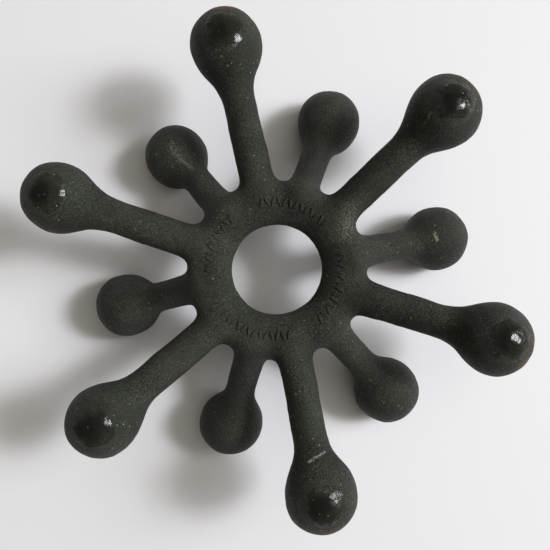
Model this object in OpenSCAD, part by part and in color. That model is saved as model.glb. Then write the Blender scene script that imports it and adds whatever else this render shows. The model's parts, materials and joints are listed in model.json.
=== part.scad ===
// Cast-iron star holder: a ring with six long and six short arms, each ending in a ball.
// It lies with its marked underside up, on the rims of the six short balls.
// The origin is on the ring's axis in the plane of those rims, and one long arm runs along +X.

/* [Ring] */
// Radius of the open centre
hole_r = 17.9; // [16:0.1:19]
// Outer radius of the ring, at the crotch between two arms
ring_r = 34.5; // [33:0.1:36]
// Thickness of the ring
ring_t = 11.6; // [10:0.1:13]
// Radius that rounds the ring's edges
edge_r = 4.4; // [3:0.1:4.8]
// Radius at which the ring ends and each arm begins
stub_reach = 41; // [40:0.5:43]

/* [Balls] */
// Diameter of every ball
ball_d = 26.5; // [25:0.1:28]
// Diameter of the flat rim round each socket
rim_d = 16; // [15.5:0.1:18]

/* [Sockets] */
// Diameter of the socket for a half-inch taper or a stem
socket_d = 13; // [10:0.1:14]
// Depth of the socket from its rim
socket_depth = 15; // [10:0.5:18]

/* [Long arms] */
// Distance from the axis to a long arm's ball
long_reach = 85.5; // [82:0.5:92]
// Height of that ball's centre above the ring's middle
long_rise = 15.5; // [12:0.5:18]
// Diameter of a long arm where it leaves the ring
long_root_d = 13.6; // [12.5:0.1:14.5]
// Diameter of a long arm at the neck of its ball
long_neck_d = 12.2; // [11:0.1:13]
// Radius of the hollow curve from the neck to the ball
long_blend_r = 26; // [18:0.5:30]

/* [Short arms] */
// Distance from the axis to a short arm's ball
short_reach = 67.3; // [66:0.5:72]
// Depth of that ball's centre below the ring's middle
short_drop = 19; // [17:0.5:22]
// Diameter of a short arm where it leaves the ring
short_root_d = 12.4; // [12:0.1:13.5]
// Diameter of a short arm at the neck of its ball
short_neck_d = 11.8; // [11:0.1:12.5]
// Radius of the hollow curve from the neck to the ball
short_blend_r = 14; // [10:0.5:16]

/* [Dipped tips] */
// Thickness of the dipped coat at the top of a long arm's ball
tip_t = 0.6; // [0.4:0.1:1]
// Radius of the coat's own domed face
tip_dome_r = 11; // [10:0.1:12]

/* [Hidden] */
// How many arms there are of each kind
arms = 6;
$fn = 96;

IRON = "#35342f";
ENAMEL = "#0d0d0e";

// Angle from one arm to the next of its kind
pitch = 360 / arms;
ball_r = ball_d / 2;
socket_r = socket_d / 2;
rim_r = rim_d / 2;
// Depth of the rim's plane below a ball's centre
rim_depth = sqrt(pow(ball_r, 2) - pow(rim_r, 2));
ring_z = rim_depth + short_drop;
// Every arm's axis starts at this radius, inside the ring, halfway up it
axis_start = 30;

// An arm is [angle of the first one, reach, rise, root radius, neck radius, blend radius]
LONG = [0, long_reach, long_rise, long_root_d / 2, long_neck_d / 2, long_blend_r];
SHORT = [pitch / 2, short_reach, -short_drop, short_root_d / 2, short_neck_d / 2, short_blend_r];

function slope(arm) = atan2(arm[2], arm[1] - axis_start);
function axis_length(arm) = norm([arm[1] - axis_start, arm[2]]);
// Distance from a ball's centre to its neck, where the hollow curve meets the arm
function neck_gap(arm) = sqrt(pow(ball_r + arm[5], 2) - pow(arm[4] + arm[5], 2));
// Distance from a ball's centre to the face where its arm joins the ring
function stub_gap(arm) = (arm[1] - stub_reach) / cos(slope(arm));
// Radius of the tapered arm at a distance from its ball's centre
function arm_radius(arm, gap) =
    arm[4] + (arm[3] - arm[4]) * (gap - neck_gap(arm)) / (axis_length(arm) - neck_gap(arm));

// Moves its children to the centre of one ball
module at_ball(arm, i) {
    rotate([0, 0, arm[0] + (i - 1) * pitch])
        translate([arm[1], 0, ring_z + arm[2]])
            children();
}

// Turns +Z to point along the arm, away from the ring
module along(arm) {
    rotate([0, 90 - slope(arm), 0])
        children();
}

// A tapered length of arm between two distances from its ball's centre
module taper(arm, near, far) {
    translate([0, 0, -far])
        cylinder(h = far - near, r1 = arm_radius(arm, far), r2 = arm_radius(arm, near));
}

// The stub of arm that is part of the ring, with a round start
module root(arm) {
    taper(arm, stub_gap(arm), axis_length(arm));
    translate([0, 0, -axis_length(arm)])
        sphere(r = arm[3]);
}

module ring_section() {
    low = hole_r + edge_r;
    high = ring_r - edge_r;
    side = ring_t / 2 - edge_r;
    translate([low, -ring_t / 2])
        square([high - low, ring_t]);
    translate([hole_r, -side])
        square([ring_r - hole_r, 2 * side]);
    for (x = [low, high])
        for (y = [-side, side])
            translate([x, y])
                circle(r = edge_r);
}

module hub_ring() {
    color(IRON) {
        translate([0, 0, ring_z])
            rotate_extrude()
                ring_section();
        for (arm = [LONG, SHORT])
            for (i = [1:arms])
                at_ball(arm, i)
                    along(arm)
                        root(arm);
    }
}

module arm_length(arm, i) {
    color(IRON) at_ball(arm, i)
        along(arm)
            taper(arm, neck_gap(arm), stub_gap(arm));
}

// Half section of a ball and its neck, with the hollow curve between them
module ball_section(arm) {
    across = arm[4] + arm[5];
    back = neck_gap(arm);
    share = ball_r / (ball_r + arm[5]);
    intersection() {
        circle(r = ball_r);
        translate([0, -ball_r])
            square([ball_r, 2 * ball_r]);
    }
    difference() {
        polygon([[0, -back], [arm[4], -back], share * [across, -back], [0, -share * back]]);
        translate([across, -back])
            circle(r = arm[5], $fn = 4 * $fn);
    }
}

module ball(arm, i) {
    color(IRON) at_ball(arm, i)
        difference() {
            along(arm)
                rotate_extrude()
                    ball_section(arm);
            translate([0, 0, -rim_depth - ball_r])
                cylinder(h = ball_r, r = rim_r + 0.3);
            translate([0, 0, -rim_depth - 1])
                cylinder(h = socket_depth + 1, r = socket_r);
        }
}

// A drop of dipped enamel that thins out to nothing at its edge
module foot_tip(i) {
    color(ENAMEL) at_ball(LONG, i)
        difference() {
            translate([0, 0, ball_r + tip_t - tip_dome_r])
                sphere(r = tip_dome_r);
            sphere(r = ball_r);
        }
}

hub_ring();
for (i = [1:arms]) {
    arm_length(LONG, i);
    ball(LONG, i);
    arm_length(SHORT, i);
    ball(SHORT, i);
    foot_tip(i);
}
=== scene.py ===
"""A cast-iron star holder with ball-ended arms, lying marked side up on a pale table, in metres."""

import json
import math

import bmesh
import bpy
import numpy as np
from mathutils import Matrix, Vector


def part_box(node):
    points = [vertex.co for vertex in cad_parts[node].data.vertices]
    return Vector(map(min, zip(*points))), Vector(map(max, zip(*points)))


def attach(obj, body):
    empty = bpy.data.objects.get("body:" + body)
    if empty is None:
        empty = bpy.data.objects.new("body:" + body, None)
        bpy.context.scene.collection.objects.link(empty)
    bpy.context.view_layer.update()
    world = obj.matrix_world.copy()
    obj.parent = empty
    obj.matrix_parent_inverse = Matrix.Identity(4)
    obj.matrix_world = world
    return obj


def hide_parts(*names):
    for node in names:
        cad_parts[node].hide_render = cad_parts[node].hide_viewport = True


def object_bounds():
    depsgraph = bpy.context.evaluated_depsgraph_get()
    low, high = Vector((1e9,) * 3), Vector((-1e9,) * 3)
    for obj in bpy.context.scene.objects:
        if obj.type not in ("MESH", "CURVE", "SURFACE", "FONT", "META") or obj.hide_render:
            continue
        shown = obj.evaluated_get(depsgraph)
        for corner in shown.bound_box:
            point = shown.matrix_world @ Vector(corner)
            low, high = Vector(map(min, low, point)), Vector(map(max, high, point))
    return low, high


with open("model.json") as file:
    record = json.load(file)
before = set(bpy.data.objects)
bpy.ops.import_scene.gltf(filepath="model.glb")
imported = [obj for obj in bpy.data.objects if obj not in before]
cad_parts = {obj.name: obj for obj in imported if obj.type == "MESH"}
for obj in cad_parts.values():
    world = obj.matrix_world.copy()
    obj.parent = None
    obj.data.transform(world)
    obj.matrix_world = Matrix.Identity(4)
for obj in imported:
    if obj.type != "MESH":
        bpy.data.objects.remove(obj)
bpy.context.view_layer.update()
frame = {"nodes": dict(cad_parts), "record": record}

# One millimetre in metres
MM = 0.001

# ---------------------------------------------------------------------------------------------
# The casting: ring, arms and balls, one sand casting in grey iron, blackened and left matte.
# It is poured in two mould halves, so every corner is a soft hollow curve and the skin has the
# sand's grain. Its skin is made whole, and then cut where the features of the part meet.

mounts = {mount["name"]: mount for mount in frame["record"]["mounts"]}
long_mouth = Vector(mounts["long_socket_1"]["pos_m"])
short_mouth = Vector(mounts["short_socket_1"]["pos_m"])
socket_depth = mounts["long_socket_1"]["dims"]["length_mm"] * MM
socket_radius = mounts["long_socket_1"]["dims"]["r_mm"] * MM
hole_radius = mounts["centre_hole"]["dims"]["r_mm"] * MM
ring_height = mounts["centre_hole"]["pos_m"][2]

PER_KIND = 6
PITCH = math.tau / PER_KIND
ball_radius = (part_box("long_ball_1")[1].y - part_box("long_ball_1")[0].y) / 2
rim_radius = 8.0 * MM
rim_depth = math.sqrt(ball_radius**2 - rim_radius**2)
mouth_to_ball = rim_depth - socket_depth / 2

# Where the axis of an arm starts, inside the ring
AXIS_START = 30 * MM

LONG = {
    "turn": 0.0,
    "reach": math.hypot(long_mouth.x, long_mouth.y),
    "rise": long_mouth.z + mouth_to_ball - ring_height,
    "root radius": 6.8 * MM,
    "neck radius": 6.1 * MM,
    "neck blend": 13 * MM,
}
SHORT = {
    "turn": PITCH / 2,
    "reach": math.hypot(short_mouth.x, short_mouth.y),
    "rise": short_mouth.z + mouth_to_ball - ring_height,
    "root radius": 6.2 * MM,
    "neck radius": 5.7 * MM,
    "neck blend": 11 * MM,
}


def add(tree, kind, inputs=(), **settings):
    """Adds a node with its settings. inputs gives each socket, by number or name, a value or a link."""
    node = tree.nodes.new(kind)
    for name, value in settings.items():
        setattr(node, name, value)
    for key, value in dict(inputs).items():
        if isinstance(value, bpy.types.NodeSocket):
            tree.links.new(value, node.inputs[key])
        else:
            node.inputs[key].default_value = value
    return node


def new_group(name, floats=(), objects=(), outputs=(("Geometry", "NodeSocketGeometry"),)):
    """A Geometry Nodes tree with named inputs. Returns the tree and its input node."""
    tree = bpy.data.node_groups.new(name, "GeometryNodeTree")
    for label in floats:
        tree.interface.new_socket(label, in_out="INPUT", socket_type="NodeSocketFloat")
    for label in objects:
        tree.interface.new_socket(label, in_out="INPUT", socket_type="NodeSocketObject")
    for label, socket in outputs:
        tree.interface.new_socket(label, in_out="OUTPUT", socket_type=socket)
    return tree, tree.nodes.new("NodeGroupInput")


def grown(name, tree, values):
    """Runs a Geometry Nodes tree with these inputs on an empty mesh. Returns the plain mesh it makes."""
    holder = bpy.data.objects.new(name, bpy.data.meshes.new(name))
    bpy.context.scene.collection.objects.link(holder)
    modifier = holder.modifiers.new(name, "NODES")
    modifier.node_group = tree
    for socket in tree.interface.items_tree:
        if socket.in_out == "INPUT":
            modifier[socket.identifier] = values[socket.name]
    ready = holder.evaluated_get(bpy.context.evaluated_depsgraph_get())
    mesh = bpy.data.meshes.new_from_object(ready)
    bpy.data.objects.remove(holder)
    return mesh


# How round the edge of a rim or a socket is
EDGE_SOFTNESS = 1.2 * MM


def arm_field_tree():
    """Distance to the nearest arm of one kind, ball and socket included, at a Radius, Angle and Height."""
    names = ["Radius", "Angle", "Height", "Turn", "Reach", "Rise", "Root Radius", "Neck Radius",
             "Neck Blend", "Ball Radius", "Rim Radius", "Rim Depth", "Socket Radius", "Socket Depth",
             "Axis Start", "Pitch"]
    tree, given = new_group("arm field", names, outputs=(("Distance", "NodeSocketFloat"),))
    given = given.outputs
    # One arm stands for all: the angle is folded round the nearest one
    turned = add(tree, "ShaderNodeMath", {0: given["Angle"], 1: given["Turn"]},
                 operation="SUBTRACT").outputs[0]
    half = add(tree, "ShaderNodeMath", {0: given["Pitch"], 1: 0.5}, operation="MULTIPLY").outputs[0]
    minus_half = add(tree, "ShaderNodeMath", {0: given["Pitch"], 1: -0.5}, operation="MULTIPLY").outputs[0]
    folded = add(tree, "ShaderNodeMath", {0: turned, 1: half, 2: minus_half}, operation="WRAP").outputs[0]
    cosine = add(tree, "ShaderNodeMath", {0: folded}, operation="COSINE").outputs[0]
    sine = add(tree, "ShaderNodeMath", {0: folded}, operation="SINE").outputs[0]
    along = add(tree, "ShaderNodeMath", {0: given["Radius"], 1: cosine}, operation="MULTIPLY").outputs[0]
    across = add(tree, "ShaderNodeMath", {0: given["Radius"], 1: sine}, operation="MULTIPLY").outputs[0]
    point = add(tree, "ShaderNodeCombineXYZ", {0: along, 1: across, 2: given["Height"]}).outputs[0]
    start = add(tree, "ShaderNodeCombineXYZ", {0: given["Axis Start"]}).outputs[0]
    ball = add(tree, "ShaderNodeCombineXYZ", {0: given["Reach"], 2: given["Rise"]}).outputs[0]
    # The arm: distance to its axis less its tapering radius
    leg = add(tree, "ShaderNodeVectorMath", {0: ball, 1: start}, operation="SUBTRACT").outputs[0]
    offset = add(tree, "ShaderNodeVectorMath", {0: point, 1: start}, operation="SUBTRACT").outputs[0]
    done = add(tree, "ShaderNodeVectorMath", {0: offset, 1: leg}, operation="DOT_PRODUCT").outputs["Value"]
    whole = add(tree, "ShaderNodeVectorMath", {0: leg, 1: leg}, operation="DOT_PRODUCT").outputs["Value"]
    share = add(tree, "ShaderNodeMath", {0: done, 1: whole}, operation="DIVIDE", use_clamp=True).outputs[0]
    foot = add(tree, "ShaderNodeVectorMath", {0: leg, "Scale": share}, operation="SCALE").outputs[0]
    gap = add(tree, "ShaderNodeVectorMath", {0: offset, 1: foot}, operation="DISTANCE").outputs["Value"]
    radius = add(tree, "ShaderNodeMapRange",
                 {"Value": share, "To Min": given["Root Radius"],
                  "To Max": given["Neck Radius"]}).outputs[0]
    arm = add(tree, "ShaderNodeMath", {0: gap, 1: radius}, operation="SUBTRACT").outputs[0]
    # The ball, and the hollow curve of its neck
    centre_gap = add(tree, "ShaderNodeVectorMath", {0: point, 1: ball},
                     operation="DISTANCE").outputs["Value"]
    sphere = add(tree, "ShaderNodeMath", {0: centre_gap, 1: given["Ball Radius"]},
                 operation="SUBTRACT").outputs[0]
    solid = add(tree, "ShaderNodeMath", {0: arm, 1: sphere, 2: given["Neck Blend"]},
                operation="SMOOTH_MIN").outputs[0]
    # The flat rim under the ball, and the socket up into it
    flat_point = add(tree, "ShaderNodeCombineXYZ", {0: along, 1: across}).outputs[0]
    flat_ball = add(tree, "ShaderNodeCombineXYZ", {0: given["Reach"]}).outputs[0]
    from_socket = add(tree, "ShaderNodeVectorMath", {0: flat_point, 1: flat_ball},
                      operation="DISTANCE").outputs["Value"]
    above_ball = add(tree, "ShaderNodeMath", {0: given["Height"], 1: given["Rise"]},
                     operation="SUBTRACT").outputs[0]
    above_rim = add(tree, "ShaderNodeMath", {0: above_ball, 1: given["Rim Depth"]},
                    operation="ADD").outputs[0]
    above_floor = add(tree, "ShaderNodeMath", {0: above_rim, 1: given["Socket Depth"]},
                      operation="SUBTRACT").outputs[0]
    past_rim = add(tree, "ShaderNodeMath", {0: from_socket, 1: given["Rim Radius"]},
                   operation="SUBTRACT").outputs[0]
    past_wall = add(tree, "ShaderNodeMath", {0: from_socket, 1: given["Socket Radius"]},
                    operation="SUBTRACT").outputs[0]
    rim_cut = add(tree, "ShaderNodeMath", {0: above_rim, 1: past_rim}, operation="MAXIMUM").outputs[0]
    socket = add(tree, "ShaderNodeMath", {0: above_floor, 1: past_wall}, operation="MAXIMUM").outputs[0]
    empty = add(tree, "ShaderNodeMath", {0: rim_cut, 1: socket}, operation="MINIMUM").outputs[0]
    outside = add(tree, "ShaderNodeMath", {0: empty, 1: -1.0}, operation="MULTIPLY").outputs[0]
    cut = add(tree, "ShaderNodeMath", {0: solid, 1: outside, 2: EDGE_SOFTNESS},
              operation="SMOOTH_MAX").outputs[0]
    add(tree, "NodeGroupOutput", {0: cut})
    return tree


def swell(tree, place, amount):
    """How far the skin stands in or out at a place: less than half of amount, and nothing at the rims."""
    lumps = add(tree, "ShaderNodeTexNoise",
                {"Vector": place, "Scale": 1 / (15.4 * MM), "Detail": 3.0, "Roughness": 0.5})
    lumps = add(tree, "ShaderNodeMath", {0: lumps.outputs[0], 1: 0.5}, operation="SUBTRACT").outputs[0]
    height = add(tree, "ShaderNodeSeparateXYZ", {0: place}).outputs[2]
    clear = add(tree, "ShaderNodeMapRange", {"Value": height, "From Max": 5 * MM}).outputs[0]
    lumps = add(tree, "ShaderNodeMath", {0: lumps, 1: clear}, operation="MULTIPLY").outputs[0]
    return add(tree, "ShaderNodeMath", {0: lumps, 1: amount}, operation="MULTIPLY").outputs[0]


def casting_tree(material):
    """The whole casting as one closed skin: the places where the distance to ring and arms is zero."""
    kinds = ["Turn", "Reach", "Rise", "Root Radius", "Neck Radius", "Neck Blend"]
    shared = ["Ball Radius", "Rim Radius", "Rim Depth", "Socket Radius", "Socket Depth", "Axis Start",
              "Pitch"]
    names = [f"{kind} {name}" for kind in ("Long", "Short") for name in kinds] + shared
    names += ["Hole Radius", "Ring Width", "Ring Thickness", "Ring Edge", "Ring Height", "Root Blend",
              "Voxel", "Half Width", "Top", "Columns", "Rows", "Unevenness", "Funnel", "Hole Squeeze"]
    tree, given = new_group("star casting", names)
    given = given.outputs
    place = add(tree, "GeometryNodeInputPosition").outputs[0]
    axes = add(tree, "ShaderNodeSeparateXYZ", {0: place}).outputs
    flat = add(tree, "ShaderNodeCombineXYZ", {0: axes[0], 1: axes[1]}).outputs[0]
    radius = add(tree, "ShaderNodeVectorMath", {0: flat}, operation="LENGTH").outputs["Value"]
    angle = add(tree, "ShaderNodeMath", {0: axes[1], 1: axes[0]}, operation="ARCTAN2").outputs[0]
    height = add(tree, "ShaderNodeMath", {0: axes[2], 1: given["Ring Height"]},
                 operation="SUBTRACT").outputs[0]
    # The ring: a band with round edges, turned about the axis, that thins towards its hole like a funnel
    half_width = add(tree, "ShaderNodeMath", {0: given["Ring Width"], 1: 0.5},
                     operation="MULTIPLY").outputs[0]
    half_thick = add(tree, "ShaderNodeMath", {0: given["Ring Thickness"], 1: 0.5},
                     operation="MULTIPLY").outputs[0]
    middle = add(tree, "ShaderNodeMath", {0: given["Hole Radius"], 1: half_width},
                 operation="ADD").outputs[0]
    off_middle = add(tree, "ShaderNodeMath", {0: radius, 1: middle}, operation="SUBTRACT").outputs[0]
    crest = add(tree, "ShaderNodeMath", {0: given["Hole Radius"], 1: given["Funnel"]},
                operation="ADD").outputs[0]
    squeeze = add(tree, "ShaderNodeMapRange",
                  {"Value": radius, "From Min": given["Hole Radius"], "From Max": crest,
                   "To Min": given["Hole Squeeze"], "To Max": 1.0},
                  interpolation_type="SMOOTHSTEP").outputs[0]
    squeezed = add(tree, "ShaderNodeMath", {0: height, 1: squeeze}, operation="MULTIPLY").outputs[0]
    section = add(tree, "ShaderNodeCombineXYZ", {0: off_middle, 1: squeezed}).outputs[0]
    size = add(tree, "ShaderNodeCombineXYZ", {0: half_width, 1: half_thick}).outputs[0]
    core = add(tree, "ShaderNodeVectorMath", {0: size, 1: given["Ring Edge"]},
               operation="SUBTRACT").outputs[0]
    folded = add(tree, "ShaderNodeVectorMath", {0: section}, operation="ABSOLUTE").outputs[0]
    past = add(tree, "ShaderNodeVectorMath", {0: folded, 1: core}, operation="SUBTRACT").outputs[0]
    past = add(tree, "ShaderNodeVectorMath", {0: past}, operation="MAXIMUM").outputs[0]
    past_flat = add(tree, "ShaderNodeVectorMath", {0: past, 1: (1, 1, 0)}, operation="MULTIPLY").outputs[0]
    ring_gap = add(tree, "ShaderNodeVectorMath", {0: past_flat}, operation="LENGTH").outputs["Value"]
    field = add(tree, "ShaderNodeMath", {0: ring_gap, 1: given["Ring Edge"]},
                operation="SUBTRACT").outputs[0]
    # The arms of both kinds run into it through hollow curves
    arm_field = arm_field_tree()
    for kind in ("Long", "Short"):
        sizes = {name: given[f"{kind} {name}"] for name in kinds} | {name: given[name] for name in shared}
        where = {"Radius": radius, "Angle": angle, "Height": height}
        arms = add(tree, "GeometryNodeGroup", node_tree=arm_field)
        for name, link in (sizes | where).items():
            tree.links.new(link, arms.inputs[name])
        field = add(tree, "ShaderNodeMath", {0: field, 1: arms.outputs[0], 2: given["Root Blend"]},
                    operation="SMOOTH_MIN").outputs[0]
    # The field becomes a skin where it crosses zero: the cloud thins out over four voxels there, and
    # starts three voxels below the table
    steps = add(tree, "ShaderNodeMath", {0: field, 1: given["Voxel"]}, operation="DIVIDE").outputs[0]
    density = add(tree, "ShaderNodeMath", {0: steps, 1: -0.25, 2: 0.5}, operation="MULTIPLY_ADD",
                  use_clamp=True).outputs[0]
    below = add(tree, "ShaderNodeMath", {0: given["Half Width"], 1: -1.0}, operation="MULTIPLY").outputs[0]
    under = add(tree, "ShaderNodeMath", {0: given["Voxel"], 1: -3.0}, operation="MULTIPLY").outputs[0]
    low = add(tree, "ShaderNodeCombineXYZ", {0: below, 1: below, 2: under}).outputs[0]
    high = add(tree, "ShaderNodeCombineXYZ",
               {0: given["Half Width"], 1: given["Half Width"], 2: given["Top"]}).outputs[0]
    cloud = add(tree, "GeometryNodeVolumeCube",
                {"Density": density, "Min": low, "Max": high, "Resolution X": given["Columns"],
                 "Resolution Y": given["Columns"], "Resolution Z": given["Rows"]}).outputs[0]
    skin = add(tree, "GeometryNodeVolumeToMesh", {"Volume": cloud, "Threshold": 0.5}).outputs[0]
    # Sand moulds are never true: the skin swells and dips a little
    outward = add(tree, "GeometryNodeInputNormal").outputs[0]
    stand = swell(tree, place, given["Unevenness"])
    shift = add(tree, "ShaderNodeVectorMath", {0: outward, "Scale": stand}, operation="SCALE").outputs[0]
    moved = add(tree, "GeometryNodeSetPosition", {"Geometry": skin, "Offset": shift}).outputs[0]
    single = add(tree, "GeometryNodeRealizeInstances", {0: moved}).outputs[0]
    coated = add(tree, "GeometryNodeSetMaterial", {0: single, "Material": material}).outputs[0]
    add(tree, "NodeGroupOutput", {0: coated})
    return tree


def colour(code):
    """An sRGB hex colour as linear red, green, blue and alpha."""
    parts = [int(code[i:i + 2], 16) / 255 for i in (1, 3, 5)]
    return [c / 12.92 if c <= 0.04045 else ((c + 0.055) / 1.055) ** 2.4 for c in parts] + [1.0]


def new_material(name):
    """A Principled material. Returns it, its tree, its Principled node and its Object coordinates."""
    material = bpy.data.materials.new(name)
    material.use_nodes = True
    tree = material.node_tree
    tree.nodes.clear()
    shader = add(tree, "ShaderNodeBsdfPrincipled")
    add(tree, "ShaderNodeOutputMaterial", {0: shader.outputs[0]})
    return material, tree, shader, add(tree, "ShaderNodeTexCoord").outputs["Object"]


def streak(tree, place, start, end, width, strength):
    """A mask for a streak from start to end, two (x, y) places in mm: strongest along its middle."""
    start, end = Vector((*start, 0)) * MM, Vector((*end, 0)) * MM
    along = end - start
    flat = add(tree, "ShaderNodeVectorMath", {0: place, 1: (1, 1, 0)}, operation="MULTIPLY").outputs[0]
    offset = add(tree, "ShaderNodeVectorMath", {0: flat, 1: start}, operation="SUBTRACT").outputs[0]
    share = add(tree, "ShaderNodeVectorMath", {0: offset, 1: along / along.length_squared},
                operation="DOT_PRODUCT").outputs["Value"]
    share = add(tree, "ShaderNodeMath", {0: share, 1: 0.0}, operation="ADD", use_clamp=True).outputs[0]
    nearest = add(tree, "ShaderNodeVectorMath", {0: along, "Scale": share}, operation="SCALE").outputs[0]
    gap = add(tree, "ShaderNodeVectorMath", {0: offset, 1: nearest}, operation="DISTANCE").outputs["Value"]
    return add(tree, "ShaderNodeMapRange", {"Value": gap, "From Min": width * MM, "From Max": 0.0,
                                            "To Max": strength}).outputs[0]


# Where things knocked and rubbed the marked side, and a wide pale patch of dust and painted sheen: start
# and end (x, y) and width in mm, and strength
STREAKS = [((-37.0, -61.2), (-34.0, -61.8), 0.6, 1.0), ((-34.0, -61.8), (-31.0, -62.9), 0.6, 0.9),
           ((73.5, 0.6), (79.4, 2.3), 0.7, 0.25), ((57.0, -31.3), (55.8, -34.0), 1.0, 0.8),
           ((1.2, 67.0), (0.8, 61.0), 2.2, 0.22), ((0.8, 61.0), (1.8, 54.5), 1.1, 0.3),
           # The last, wide streak is dust with a painted sheen, on the ring where it faces the window
           ((37.0, -2.5), (29.5, -8.0), 5.0, 0.16)]


def blackened(tree, place):
    """The black's own colour, its clouds and the sand's grain: the iron, and what shows through enamel."""
    # The tone of the black is cloudy, with about 14 mm from cloud to cloud
    cloud = add(tree, "ShaderNodeTexNoise", {"Vector": place, "Scale": 1 / (14.3 * MM), "Detail": 3.0,
                                             "Roughness": 0.6}).outputs[0]
    tone = add(tree, "ShaderNodeMapRange", {"Value": cloud, "From Min": 0.32, "From Max": 0.68}).outputs[0]
    base = add(tree, "ShaderNodeMix", {"Factor": tone, 6: colour("#191b16"), 7: colour("#272923")},
               data_type="RGBA").outputs[2]
    # Sand grain: real grains are 0.2 mm, drawn at 0.6 mm so that they show
    grain = add(tree, "ShaderNodeTexNoise", {"Vector": place, "Scale": 1 / (0.6 * MM), "Detail": 3.0,
                                             "Roughness": 0.75}).outputs[0]
    pale = add(tree, "ShaderNodeMapRange",
               {"Value": grain, "From Min": 0.43, "From Max": 0.77, "To Max": 0.64})
    worn = add(tree, "ShaderNodeTexNoise",
               {"Vector": place, "Scale": 1 / (18.2 * MM), "Detail": 2.0}).outputs[0]
    worn = add(tree, "ShaderNodeMapRange",
               {"Value": worn, "From Min": 0.38, "From Max": 0.62, "To Min": 0.5})
    pale = add(tree, "ShaderNodeMath", {0: pale.outputs[0], 1: worn.outputs[0]},
               operation="MULTIPLY").outputs[0]
    base = add(tree, "ShaderNodeMix", {"Factor": pale, 6: base, 7: colour("#5f615a")},
               data_type="RGBA").outputs[2]
    return base, cloud, grain


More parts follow.
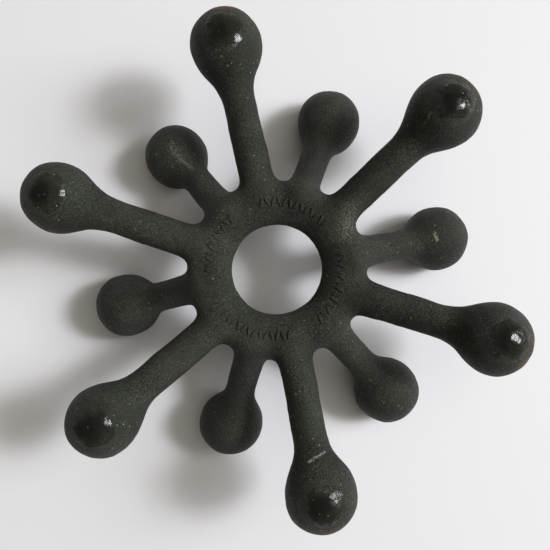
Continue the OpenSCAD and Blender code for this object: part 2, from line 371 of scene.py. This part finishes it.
def iron_material():
    """Grey iron, sand cast and blackened. The sand left a matte grain, with pits and pale dust in it, and a
    patch of painted sheen on the ring.
    """
    material, tree, shader, place = new_material("blackened sand-cast iron")
    shader.inputs["Specular IOR Level"].default_value = 0.24
    base, cloud, grain = blackened(tree, place)
    # Rust where the black has rubbed thin: the outer sides of the long balls
    radius = add(tree, "ShaderNodeVectorMath", {0: place, 1: (1, 1, 0)}, operation="MULTIPLY").outputs[0]
    radius = add(tree, "ShaderNodeVectorMath", {0: radius}, operation="LENGTH").outputs["Value"]
    outer = add(tree, "ShaderNodeMapRange", {"Value": radius, "From Min": LONG["reach"] + 7.5 * MM,
                                             "From Max": LONG["reach"] + 12 * MM}).outputs[0]
    patch = add(tree, "ShaderNodeTexNoise",
                {"Vector": place, "Scale": 1 / (13.3 * MM), "Detail": 8.0, "Roughness": 0.78})
    patch = add(tree, "ShaderNodeMapRange", {"Value": patch.outputs[0], "From Min": 0.47, "From Max": 0.66,
                                             "To Max": 0.85})
    rust = add(tree, "ShaderNodeMath", {0: outer, 1: patch.outputs[0]}, operation="MULTIPLY").outputs[0]
    base = add(tree, "ShaderNodeMix", {"Factor": rust, 6: base, 7: colour("#7c4e31")},
               data_type="RGBA").outputs[2]
    # Dust specks of 0.2 to 0.8 mm across, which lie thick in some places and thin in others
    cells = add(tree, "ShaderNodeTexVoronoi", {"Vector": place, "Scale": 1 / (1.7 * MM)})
    lot = add(tree, "ShaderNodeSeparateColor", {0: cells.outputs["Color"]}).outputs
    dusty = add(tree, "ShaderNodeTexNoise",
                {"Vector": place, "Scale": 1 / (26.3 * MM), "Detail": 2.0}).outputs[0]
    bar = add(tree, "ShaderNodeMapRange", {"Value": dusty, "From Min": 0.4, "From Max": 0.65,
                                           "To Min": 0.88, "To Max": 0.35}).outputs[0]
    chosen = add(tree, "ShaderNodeMath", {0: lot[0], 1: bar}, operation="GREATER_THAN").outputs[0]
    size = add(tree, "ShaderNodeMapRange", {"Value": lot[1], "To Min": 0.06, "To Max": 0.24}).outputs[0]
    inside = add(tree, "ShaderNodeMath", {0: size, 1: cells.outputs["Distance"]},
                 operation="SUBTRACT").outputs[0]
    speck = add(tree, "ShaderNodeMapRange", {"Value": inside, "From Max": 0.08, "To Max": 0.5}).outputs[0]
    speck = add(tree, "ShaderNodeMath", {0: speck, 1: chosen}, operation="MULTIPLY").outputs[0]
    base = add(tree, "ShaderNodeMix", {"Factor": speck, 6: base, 7: colour("#8f8c80")},
               data_type="RGBA").outputs[2]
    # Knocks and rubs on the marked side, and the patch of dust and painted sheen, broken up by the grain
    rubs_and_sheen = [streak(tree, place, *where) for where in STREAKS]
    mark = rubs_and_sheen[0]
    for one_streak in rubs_and_sheen[1:]:
        mark = add(tree, "ShaderNodeMath", {0: mark, 1: one_streak}, operation="MAXIMUM").outputs[0]
    broken = add(tree, "ShaderNodeMapRange",
                 {"Value": grain, "From Min": 0.42, "From Max": 0.62}).outputs[0]
    mark = add(tree, "ShaderNodeMath", {0: mark, 1: broken}, operation="MULTIPLY")
    facing = add(tree, "ShaderNodeTexCoord").outputs["Normal"]
    facing = add(tree, "ShaderNodeSeparateXYZ", {0: facing}).outputs[2]
    facing = add(tree, "ShaderNodeMath", {0: facing, 1: 0.2}, operation="GREATER_THAN").outputs[0]
    mark = add(tree, "ShaderNodeMath", {0: mark.outputs[0], 1: facing}, operation="MULTIPLY").outputs[0]
    # Pale for scratches and dust, and for a painted sheen on the ring's side towards the window
    base = add(tree, "ShaderNodeMix", {"Factor": mark, 6: base, 7: colour("#b0ac9c")},
               data_type="RGBA").outputs[2]
    tree.links.new(base, shader.inputs["Base Color"])
    gloss = add(tree, "ShaderNodeMapRange", {"Value": cloud, "From Min": 0.3, "From Max": 0.7,
                                             "To Min": 0.5, "To Max": 0.66}).outputs[0]
    tree.links.new(gloss, shader.inputs["Roughness"])
    # Relief: the grain stands 0.2 mm high, and pits 1.4 mm across are as deep
    holes = add(tree, "ShaderNodeTexVoronoi",
                {"Vector": place, "Scale": 1 / (3.5 * MM)}).outputs["Distance"]
    pit = add(tree, "ShaderNodeMapRange", {"Value": holes, "From Max": 0.2, "To Min": -0.5,
                                           "To Max": 0.0}).outputs[0]
    relief = add(tree, "ShaderNodeMath", {0: grain, 1: pit}, operation="ADD").outputs[0]
    bump = add(tree, "ShaderNodeBump",
               {"Height": relief, "Strength": 1.0, "Distance": 0.42 * MM}).outputs[0]
    tree.links.new(bump, shader.inputs["Normal"])
    return material


iron = iron_material()
VOXEL = 0.7 * MM
UNEVENNESS = 1.4 * MM
# Room round the part, in which the skin is looked for
MARGIN = 2 * MM
half_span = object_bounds()[1].x + MARGIN
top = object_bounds()[1].z + MARGIN
# A rim's soft edge eats into it, so the cut that makes the rim is this much wider
RIM_EXTRA = 0.4 * MM
values = {f"{kind} {name.title()}": sizes[name]
          for kind, sizes in (("Long", LONG), ("Short", SHORT))
          for name in ("turn", "reach", "rise", "root radius", "neck radius", "neck blend")}
values |= {
    "Ball Radius": ball_radius, "Rim Radius": rim_radius + RIM_EXTRA, "Rim Depth": rim_depth,
    "Socket Radius": socket_radius, "Socket Depth": socket_depth, "Axis Start": AXIS_START, "Pitch": PITCH,
    "Hole Radius": hole_radius, "Ring Width": 17.0 * MM, "Ring Thickness": 11.6 * MM, "Ring Edge": 5.0 * MM,
    "Ring Height": ring_height, "Root Blend": 7 * MM, "Voxel": VOXEL, "Half Width": half_span, "Top": top,
    "Columns": 2 * half_span / VOXEL, "Rows": (top + 3 * VOXEL) / VOXEL, "Unevenness": UNEVENNESS,
    "Funnel": 7 * MM, "Hole Squeeze": 1.45,
}
whole_skin = grown("whole casting", casting_tree(iron), values)


def cut_faces(mesh, cuts):
    """Cuts a mesh by planes, each near one arm only. A cut is (outward, direction, distance that way)."""
    work = bmesh.new()
    work.from_mesh(mesh)
    work.faces.ensure_lookup_table()
    centres = np.array([face.calc_center_median() for face in work.faces])
    beside = math.cos(PITCH / 4)
    jobs = []
    for outward, direction, distance in cuts:
        ahead = centres[:, :2] @ np.array(outward)[:2] > beside * np.hypot(centres[:, 0], centres[:, 1])
        close = np.abs(centres @ np.array(direction) - distance) < 3 * VOXEL
        jobs.append([work.faces[k] for k in np.flatnonzero(ahead & close)])
    for faces, (outward, direction, distance) in zip(jobs, cuts):
        edges = {edge for face in faces for edge in face.edges}
        corners = {corner for face in faces for corner in face.verts}
        bmesh.ops.bisect_plane(work, geom=[*faces, *edges, *corners], dist=1e-7,
                               plane_co=direction * distance, plane_no=direction)
    work.to_mesh(mesh)
    work.free()


def capped_piece(name, mesh, chosen, normals):
    """One closed piece of the skin: the chosen faces, and a flat cap over each hole that the cuts left."""
    faces = [list(mesh.polygons[k].vertices) for k in chosen]
    used = sorted({corner for face in faces for corner in face})
    renumbered = {old: new for new, old in enumerate(used)}
    faces = [[renumbered[corner] for corner in face] for face in faces]
    points = [mesh.vertices[k].co.copy() for k in used]
    corner_normals = [normals[used[corner]] for face in faces for corner in face]
    sides = {(a, b) for face in faces for a, b in zip(face, face[1:] + face[:1])}
    border = {b: a for a, b in sides if (b, a) not in sides}
    while border:
        loop = [next(iter(border))]
        while border[loop[-1]] != loop[0]:
            loop.append(border.pop(loop[-1]))
        border.pop(loop[-1])
        middle = sum((points[k] for k in loop), Vector()) / len(loop)
        points.append(middle)
        ends = [(a, b, len(points) - 1) for a, b in zip(loop, loop[1:] + loop[:1])]
        faces += ends
        turns = [(points[a] - middle).cross(points[b] - middle) for a, b, _ in ends]
        corner_normals += [sum(turns, Vector()).normalized()] * (3 * len(ends))
    piece_mesh = bpy.data.meshes.new(name)
    piece_mesh.from_pydata(points, [], faces)
    piece_mesh.normals_split_custom_set(np.array([tuple(n) for n in corner_normals]))
    piece = bpy.data.objects.new(name, piece_mesh)
    bpy.context.scene.collection.objects.link(piece)
    return piece


# Each arm's node says where the skin is cut: its two end faces, measured along the arm
arms = []
for kind, sizes in (("long", LONG), ("short", SHORT)):
    slope = math.atan2(sizes["rise"], sizes["reach"] - AXIS_START)
    for number in range(1, PER_KIND + 1):
        angle = sizes["turn"] + (number - 1) * PITCH
        outward = Vector((math.cos(angle), math.sin(angle), 0))
        direction = outward * math.cos(slope) + Vector((0, 0, math.sin(slope)))
        corners = frame["nodes"][f"{kind}_arm_{number}"].data.vertices
        along = [corner.co.dot(direction) for corner in corners]
        arms.append((kind, number, outward, direction, min(along), max(along)))
cuts = [(outward, direction, end) for _, _, outward, direction, *ends in arms for end in ends]
cut_faces(whole_skin, cuts)

centres = np.array([face.center for face in whole_skin.polygons])
spread = np.hypot(centres[:, 0], centres[:, 1])
skin_normals = [corner.vector.copy() for corner in whole_skin.vertex_normals]
owner = np.full(len(centres), "hub_ring", dtype=object)
for kind, number, outward, direction, start, end in arms:
    ahead = centres[:, :2] @ np.array(outward)[:2] > math.cos(PITCH / 4) * spread
    along = centres @ np.array(direction)
    owner[ahead & (along > start)] = f"{kind}_arm_{number}"
    owner[ahead & (along > end)] = f"{kind}_ball_{number}"
for node in sorted(set(owner)):
    piece = capped_piece(f"cast_{node}", whole_skin, np.flatnonzero(owner == node), skin_normals)
    piece.data.materials.append(iron)
    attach(piece, "root")
    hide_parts(node)

# ---------------------------------------------------------------------------------------------
# Cast marks: a border of small raised bars that lean left and right by turns, in four groups
# round the hole. It is generic and says nothing. A die pressed the bars into the mould's sand, so
# they have round edges, stand up by half a millimetre, and have the casting's own finish.


def marks_tree(material):
    """Leaning bars in groups on a circle, each dropped on to the surface below it."""
    names = ["Count", "Group", "Kept", "Radius", "Start Height", "Length", "Width", "Stand", "Lean"]
    tree, given = new_group("ring marks", names, objects=["Surface"])
    given = given.outputs
    circle = add(tree, "GeometryNodeMeshCircle", {"Vertices": given["Count"], "Radius": given["Radius"]})
    place = add(tree, "GeometryNodeInputPosition").outputs[0]
    lift = add(tree, "ShaderNodeCombineXYZ", {2: given["Start Height"]}).outputs[0]
    above = add(tree, "ShaderNodeVectorMath", {0: place, 1: lift}, operation="ADD").outputs[0]
    surface = add(tree, "GeometryNodeObjectInfo", {"Object": given["Surface"]}).outputs["Geometry"]
    ray = add(tree, "GeometryNodeRaycast", {"Target Geometry": surface, "Source Position": above,
                                            "Ray Direction": (0, 0, -1), "Ray Length": 0.1}).outputs
    seated = add(tree, "GeometryNodeSetPosition", {"Geometry": circle.outputs[0],
                                                   "Position": ray["Hit Position"]}).outputs[0]
    # Each bar stands square to the surface and points at the hole, give or take its lean
    index = add(tree, "GeometryNodeInputIndex").outputs[0]
    parity = add(tree, "ShaderNodeMath", {0: index, 1: 2.0}, operation="MODULO").outputs[0]
    lean = add(tree, "ShaderNodeMath", {0: parity, 1: 2.0, 2: -1.0}, operation="MULTIPLY_ADD").outputs[0]
    lean = add(tree, "ShaderNodeMath", {0: lean, 1: given["Lean"]}, operation="MULTIPLY").outputs[0]
    aim = add(tree, "ShaderNodeVectorRotate", {"Vector": place, "Angle": lean},
              rotation_type="Z_AXIS").outputs[0]
    upright = add(tree, "FunctionNodeAlignRotationToVector", {"Vector": ray["Hit Normal"]},
                  axis="Z").outputs[0]
    turned = add(tree, "FunctionNodeAlignRotationToVector", {"Rotation": upright, "Vector": aim}, axis="X",
                 pivot_axis="Z").outputs[0]
    in_group = add(tree, "ShaderNodeMath", {0: index, 1: given["Group"]}, operation="MODULO").outputs[0]
    kept = add(tree, "ShaderNodeMath", {0: in_group, 1: given["Kept"]}, operation="LESS_THAN").outputs[0]
    bar = add(tree, "GeometryNodeMeshUVSphere", {"Segments": 10, "Rings": 8, "Radius": 0.5}).outputs[0]
    size = add(tree, "ShaderNodeCombineXYZ",
               {0: given["Length"], 1: given["Width"], 2: given["Stand"]}).outputs[0]
    stamped = add(tree, "GeometryNodeInstanceOnPoints",
                  {"Points": seated, "Instance": bar, "Selection": kept, "Rotation": turned,
                   "Scale": size}).outputs[0]
    single = add(tree, "GeometryNodeRealizeInstances", {0: stamped}).outputs[0]
    smooth = add(tree, "GeometryNodeSetShadeSmooth", {0: single}).outputs[0]
    coated = add(tree, "GeometryNodeSetMaterial", {0: smooth, "Material": material}).outputs[0]
    add(tree, "NodeGroupOutput", {0: coated})
    return tree


marks = bpy.data.objects.new("ring_marks", grown("ring marks", marks_tree(iron), {
    "Count": 72, "Group": 18, "Kept": 13, "Radius": 26 * MM, "Start Height": top, "Length": 4.2 * MM,
    "Width": 1.25 * MM, "Stand": 1.0 * MM, "Lean": math.radians(24),
    "Surface": bpy.data.objects["cast_hub_ring"],
}))
bpy.context.scene.collection.objects.link(marks)
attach(marks, "root")

# ---------------------------------------------------------------------------------------------
# The dipped tips: each long ball was dipped in thick gloss enamel, so that the iron doesn't
# scratch a table in use. The drop has run a little unevenly and thins out to nothing.


def tip_tree(material):
    """A drop of enamel on top of a ball: a sphere squeezed on to the ball's own surface."""
    names = ["Ball X", "Ball Y", "Ball Z", "Ball Radius", "Spread", "Coat", "Seed", "Drained", "Unevenness"]
    tree, given = new_group("dipped tip", names)
    given = given.outputs
    globe = add(tree, "GeometryNodeMeshUVSphere", {"Segments": 96, "Rings": 48, "Radius": 1.0}).outputs[0]
    place = add(tree, "GeometryNodeInputPosition").outputs[0]
    axes = add(tree, "ShaderNodeSeparateXYZ", {0: place}).outputs
    # From the top of the globe to its middle the drop goes from its centre out to its edge
    flat = add(tree, "ShaderNodeCombineXYZ", {0: axes[0], 1: axes[1]}).outputs[0]
    round_way = add(tree, "ShaderNodeVectorMath", {0: flat}, operation="NORMALIZE").outputs[0]
    height = add(tree, "ShaderNodeMath", {0: axes[2]}, operation="ABSOLUTE").outputs[0]
    polar = add(tree, "ShaderNodeMath", {0: height}, operation="ARCCOSINE").outputs[0]
    share = add(tree, "ShaderNodeMath", {0: polar, 1: math.pi / 2}, operation="DIVIDE").outputs[0]
    wander = add(tree, "ShaderNodeTexNoise",
                 {"Vector": round_way, "W": given["Seed"], "Scale": 0.9, "Detail": 2.0},
                 noise_dimensions="4D").outputs[0]
    reach = add(tree, "ShaderNodeMapRange",
                {"Value": wander, "From Min": 0.3, "From Max": 0.7,
                 "To Min": 0.92, "To Max": 1.1}).outputs[0]
    # It drained to one side, and ends in a blunt point there
    heading = add(tree, "ShaderNodeMath", {0: axes[1], 1: axes[0]}, operation="ARCTAN2").outputs[0]
    off = add(tree, "ShaderNodeMath", {0: heading, 1: given["Drained"]}, operation="SUBTRACT").outputs[0]
    off = add(tree, "ShaderNodeMath", {0: off, 1: math.pi, 2: -math.pi}, operation="WRAP").outputs[0]
    off = add(tree, "ShaderNodeMath", {0: off}, operation="ABSOLUTE").outputs[0]
    point = add(tree, "ShaderNodeMapRange",
                {"Value": off, "From Max": 1.3, "To Min": 1.0, "To Max": 0.88}).outputs[0]
    reach = add(tree, "ShaderNodeMath", {0: reach, 1: point}, operation="MULTIPLY").outputs[0]
    reach = add(tree, "ShaderNodeMath", {0: reach, 1: given["Spread"]}, operation="MULTIPLY").outputs[0]
    tilt = add(tree, "ShaderNodeMath", {0: share, 1: reach}, operation="MULTIPLY").outputs[0]
    out = add(tree, "ShaderNodeMath", {0: tilt}, operation="SINE").outputs[0]
    up = add(tree, "ShaderNodeMath", {0: tilt}, operation="COSINE").outputs[0]
    sideways = add(tree, "ShaderNodeVectorMath", {0: round_way, "Scale": out},
                   operation="SCALE").outputs[0]
    upward = add(tree, "ShaderNodeCombineXYZ", {2: up}).outputs[0]
    way = add(tree, "ShaderNodeVectorMath", {0: sideways, 1: upward}, operation="ADD").outputs[0]
    # The coat is thickest in the middle and thins out to nothing, and its back is just inside the ball
    fade = add(tree, "ShaderNodeMath", {0: share, 1: 1.6}, operation="POWER").outputs[0]
    fade = add(tree, "ShaderNodeMath", {0: 1.0, 1: fade}, operation="SUBTRACT").outputs[0]
    coat = add(tree, "ShaderNodeMath", {0: fade, 1: given["Coat"]}, operation="MULTIPLY").outputs[0]
    is_front = add(tree, "ShaderNodeMath", {0: axes[2], 1: -0.001}, operation="GREATER_THAN").outputs[0]
    depth = add(tree, "ShaderNodeMix", {"Factor": is_front, 2: -0.5 * MM, 3: coat}).outputs[0]
    distance = add(tree, "ShaderNodeMath", {0: given["Ball Radius"], 1: depth}, operation="ADD").outputs[0]
    # It follows the lumps of the ball below
    centre = add(tree, "ShaderNodeCombineXYZ",
                 {0: given["Ball X"], 1: given["Ball Y"], 2: given["Ball Z"]}).outputs[0]
    below = add(tree, "ShaderNodeVectorMath", {0: way, "Scale": given["Ball Radius"]},
                operation="SCALE").outputs[0]
    below = add(tree, "ShaderNodeVectorMath", {0: below, 1: centre}, operation="ADD").outputs[0]
    stand = swell(tree, below, given["Unevenness"])
    distance = add(tree, "ShaderNodeMath", {0: distance, 1: stand}, operation="ADD").outputs[0]
    local = add(tree, "ShaderNodeVectorMath", {0: way, "Scale": distance}, operation="SCALE").outputs[0]
    final = add(tree, "ShaderNodeVectorMath", {0: local, 1: centre}, operation="ADD").outputs[0]
    drop = add(tree, "GeometryNodeSetPosition", {"Geometry": globe, "Position": final}).outputs[0]
    single = add(tree, "GeometryNodeRealizeInstances", {0: drop}).outputs[0]
    smooth = add(tree, "GeometryNodeSetShadeSmooth", {0: single}).outputs[0]
    coated = add(tree, "GeometryNodeSetMaterial", {0: smooth, "Material": material}).outputs[0]
    add(tree, "NodeGroupOutput", {0: coated})
    return tree


# The way the drops drained, and how far the last of the wet coat ran that way
DRAINED = math.radians(-42)
RUN = 2.4 * MM


def enamel_material():
    """Black gloss enamel, dipped and air dried. It thins at its edge, where the iron's grain shows."""
    material, tree, shader, place = new_material("dipped gloss enamel")
    shader.inputs["Specular IOR Level"].default_value = 0.42
    base, cloud, grain = blackened(tree, place)
    # How far out from the middle of the nearest drop, with a ragged edge
    axes = add(tree, "ShaderNodeSeparateXYZ", {0: place}).outputs
    angle = add(tree, "ShaderNodeMath", {0: axes[1], 1: axes[0]}, operation="ARCTAN2").outputs[0]
    arm = add(tree, "ShaderNodeMath", {0: angle, 1: PITCH}, operation="DIVIDE").outputs[0]
    arm = add(tree, "ShaderNodeMath", {0: arm}, operation="ROUND").outputs[0]
    angle = add(tree, "ShaderNodeMath", {0: arm, 1: PITCH}, operation="MULTIPLY").outputs[0]
    ahead = add(tree, "ShaderNodeMath", {0: angle}, operation="COSINE").outputs[0]
    aside = add(tree, "ShaderNodeMath", {0: angle}, operation="SINE").outputs[0]
    middle = add(tree, "ShaderNodeCombineXYZ", {0: ahead, 1: aside}).outputs[0]
    middle = add(tree, "ShaderNodeVectorMath", {0: middle, "Scale": LONG["reach"]},
                 operation="SCALE").outputs[0]
    flat = add(tree, "ShaderNodeVectorMath", {0: place, 1: (1, 1, 0)}, operation="MULTIPLY").outputs[0]
    offset = add(tree, "ShaderNodeVectorMath", {0: flat, 1: middle}, operation="SUBTRACT").outputs[0]
    out = add(tree, "ShaderNodeVectorMath", {0: offset}, operation="LENGTH").outputs["Value"]
    # And how far out from the middle of the last wet coat
    run = Vector((math.cos(DRAINED), math.sin(DRAINED), 0)) * RUN
    wet = add(tree, "ShaderNodeVectorMath", {0: offset, 1: run}, operation="DISTANCE").outputs["Value"]
    ragged = add(tree, "ShaderNodeTexNoise",
                 {"Vector": place, "Scale": 1 / (5 * MM), "Detail": 4.0}).outputs[0]
    ragged = add(tree, "ShaderNodeMath", {0: ragged, 1: 8 * MM, 2: -4 * MM},
                 operation="MULTIPLY_ADD").outputs[0]
    out = add(tree, "ShaderNodeMath", {0: out, 1: ragged}, operation="ADD").outputs[0]
    wet = add(tree, "ShaderNodeMath", {0: wet, 1: ragged}, operation="ADD").outputs[0]
    # The iron's colour shows through first, then its grain, and the gloss goes farthest
    bare = add(tree, "ShaderNodeMapRange", {"Value": out, "From Min": 0.2 * ball_radius,
                                            "From Max": 0.7 * ball_radius}).outputs[0]
    thin = add(tree, "ShaderNodeMapRange", {"Value": wet, "From Min": 0.46 * ball_radius,
                                            "From Max": 0.66 * ball_radius, "To Min": 0.13}).outputs[0]
    dull = add(tree, "ShaderNodeMapRange", {"Value": wet, "From Min": 0.5 * ball_radius,
                                            "From Max": 0.68 * ball_radius}).outputs[0]
    base = add(tree, "ShaderNodeMix", {"Factor": bare, 6: colour("#121310"), 7: base},
               data_type="RGBA").outputs[2]
    # Fewer dust specks than on the iron, of up to half a millimetre across
    cells = add(tree, "ShaderNodeTexVoronoi", {"Vector": place, "Scale": 1 / (1.7 * MM)})
    lot = add(tree, "ShaderNodeSeparateColor", {0: cells.outputs["Color"]}).outputs
    size = add(tree, "ShaderNodeMapRange", {"Value": lot[0], "From Min": 0.5, "To Max": 0.16}).outputs[0]
    inside = add(tree, "ShaderNodeMath", {0: size, 1: cells.outputs["Distance"]},
                 operation="SUBTRACT").outputs[0]
    speck = add(tree, "ShaderNodeMapRange", {"Value": inside, "From Max": 0.06, "To Max": 0.6}).outputs[0]
    base = add(tree, "ShaderNodeMix", {"Factor": speck, 6: base, 7: colour("#a3a197")},
               data_type="RGBA").outputs[2]
    tree.links.new(base, shader.inputs["Base Color"])
    gloss = add(tree, "ShaderNodeMapRange", {"Value": dull, "To Min": 0.19, "To Max": 0.56}).outputs[0]
    tree.links.new(gloss, shader.inputs["Roughness"])
    # The coat lies smooth in the middle, and farther out it follows the sand grain
    waves = add(tree, "ShaderNodeTexNoise",
                {"Vector": place, "Scale": 1 / (2.5 * MM), "Detail": 1.0}).outputs[0]
    waves = add(tree, "ShaderNodeMath", {0: waves, 1: 0.65}, operation="MULTIPLY").outputs[0]
    height = add(tree, "ShaderNodeMath", {0: grain, 1: thin, 2: waves},
                 operation="MULTIPLY_ADD").outputs[0]
    bump = add(tree, "ShaderNodeBump",
               {"Height": height, "Strength": 1.0, "Distance": 0.42 * MM}).outputs[0]
    tree.links.new(bump, shader.inputs["Normal"])
    return material


enamel = enamel_material()
drop_tree = tip_tree(enamel)
for number in range(1, PER_KIND + 1):
    angle = LONG["turn"] + (number - 1) * PITCH
    tip = bpy.data.objects.new(f"dipped_tip_{number}", grown(f"dipped tip {number}", drop_tree, {
        "Ball X": LONG["reach"] * math.cos(angle), "Ball Y": LONG["reach"] * math.sin(angle),
        "Ball Z": ring_height + LONG["rise"], "Ball Radius": ball_radius, "Spread": math.radians(58),
        "Coat": 0.45 * MM, "Seed": 10.0 * number, "Drained": DRAINED,
        "Unevenness": UNEVENNESS,
    }))
    bpy.context.scene.collection.objects.link(tip)
    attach(tip, "root")
    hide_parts(f"foot_tip_{number}")

# ---------------------------------------------------------------------------------------------
# The table, the window and the camera: a white painted board, as wide as any view needs, lit by a
# window on its right, by the sky in it and by the pale wall round it. The camera is close above.

bpy.ops.mesh.primitive_plane_add(size=30)
table = bpy.context.object
table.name = "table"
# White paint, rolled on: even, and matte enough that no lamp is seen in it
paint = bpy.data.materials.new("white table")
paint.use_nodes = True
coat = paint.node_tree.nodes["Principled BSDF"].inputs
coat["Base Color"].default_value = colour("#dadadd")
coat["Roughness"].default_value = 0.6
table.data.materials.append(paint)

scene = bpy.context.scene
scene.view_settings.view_transform = "Standard"
world = bpy.data.worlds.new("room")
world.use_nodes = True
room = world.node_tree.nodes["Background"].inputs
room["Color"].default_value = colour("#f4ead8")
room["Strength"].default_value = 0.13
scene.world = world

# In the view, the long arm that lies along +X points 42 degrees up from the right
VIEW_TURN = math.radians(-42.1)
turn = Matrix.Rotation(VIEW_TURN, 3, "Z")


def lamp(name, place, size, power, tint, shines=True):
    """A square soft lamp that faces the ring. One that doesn't shine isn't seen in glossy surfaces."""
    light = bpy.data.lights.new(name, "AREA")
    light.size = size
    light.energy = power
    light.color = colour(tint)[:3]
    holder = bpy.data.objects.new(name, light)
    scene.collection.objects.link(holder)
    holder.location = turn @ Vector(place)
    holder.visible_glossy = shines
    aim = Vector((0, 0, ring_height)) - holder.location
    holder.rotation_euler = aim.to_track_quat("-Z", "Y").to_euler()


lamp("window", (2.57, 0.38, 2.22), 0.55, 64.0, "#fafcff")
lamp("sky in the window", (2.66, 0.47, 1.95), 1.5, 100.0, "#fafcff", shines=False)
lamp("wall round the window", (1.3, 0.3, 2.5), 3.0, 31.0, "#fff8ec", shines=False)

# From the ring's middle: to the right in the view, up in the view, and up from the table
CAMERA_PLACE = Vector((20.8, -13.4, 239.3)) * MM
# It leans by about two degrees each way, and the frame is shifted against that
tilt = Matrix.Rotation(math.radians(1.75), 3, "X") @ Matrix.Rotation(math.radians(2.35), 3, "Y")
camera = bpy.data.objects.new("camera", bpy.data.cameras.new("camera"))
scene.collection.objects.link(camera)
camera.data.lens = 39.65
camera.data.sensor_width = 36
camera.data.clip_start = 0.01
camera.data.shift_x = -0.053
camera.data.shift_y = 0.018
place = turn @ CAMERA_PLACE + Vector((0, 0, ring_height))
camera.matrix_world = Matrix.Translation(place) @ (turn @ tilt).to_4x4()
scene.camera = camera
